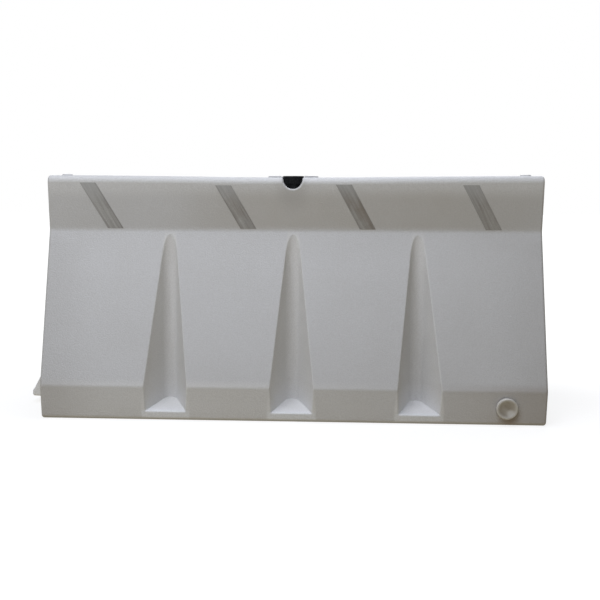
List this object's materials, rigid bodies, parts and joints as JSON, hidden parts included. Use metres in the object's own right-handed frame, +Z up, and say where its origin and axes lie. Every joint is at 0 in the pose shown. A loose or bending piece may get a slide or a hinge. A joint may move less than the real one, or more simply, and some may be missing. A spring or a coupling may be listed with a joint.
{
  "type": "plastic barricade",
  "caption": "Hollow plastic road barricade with flared, fluted faces, slanted reflective tapes, a screw fill cap, a drain plug, and a tongue and socket that join it to its neighbours.",
  "frame": {"origin": "on the ground, under the middle of the body (without its tongue)", "axes": "+X along the length from the tongue to the socket, +Y from the front face with the drain plug to the rear face, +Z up"},
  "size_m": [1.9635, 0.6128, 0.9065],
  "materials": {
    "shell_plastic": "satin moulded",
    "black_plastic": "satin",
    "white_plastic": "semi-gloss",
    "gasket_rubber": "matt",
    "reflective_tape": "ribbed tape"
  },
  "bodies": {
    "barrier": {"barrier_shell": "shell_plastic", "fill_collar": "black_plastic", "drain_bush": "white_plastic", "front_reflector_1": "reflective_tape", "front_reflector_2": "reflective_tape", "front_reflector_3": "reflective_tape", "front_reflector_4": "reflective_tape", "rear_reflector_1": "reflective_tape", "rear_reflector_2": "reflective_tape", "rear_reflector_3": "reflective_tape", "rear_reflector_4": "reflective_tape"},
    "cap_washer": {"fill_cap_gasket": "gasket_rubber"},
    "cap": {"fill_cap": "black_plastic"},
    "plug_washer": {"drain_plug_gasket": "gasket_rubber"},
    "plug": {"drain_plug": "white_plastic"}
  },
  "joints": [
    {"name": "fill_cap_rise", "type": "slide", "parent": "barrier", "child": "cap_washer", "axis": [0, 0, 1], "range_m": [0, 0.024]},
    {"name": "fill_cap_turn", "type": "hinge", "parent": "cap_washer", "child": "cap", "pos_m": [0, 0, 0.892], "axis": [0, 0, 1], "range_deg": [0, 1440]},
    {"name": "drain_plug_withdraw", "type": "slide", "parent": "barrier", "child": "plug_washer", "axis": [0, -0.9975, -0.0704], "range_m": [0, 0.024]},
    {"name": "drain_plug_turn", "type": "hinge", "parent": "plug_washer", "child": "plug", "pos_m": [0.782, -0.29569, 0.0665], "axis": [0, -0.9975, -0.0704], "range_deg": [0, 1440]}
  ],
  "couplings": [
    {"joint": "fill_cap_rise", "follows": "fill_cap_turn", "m_per_rad": 0.00095493},
    {"joint": "drain_plug_withdraw", "follows": "drain_plug_turn", "m_per_rad": 0.00095493}
  ]
}
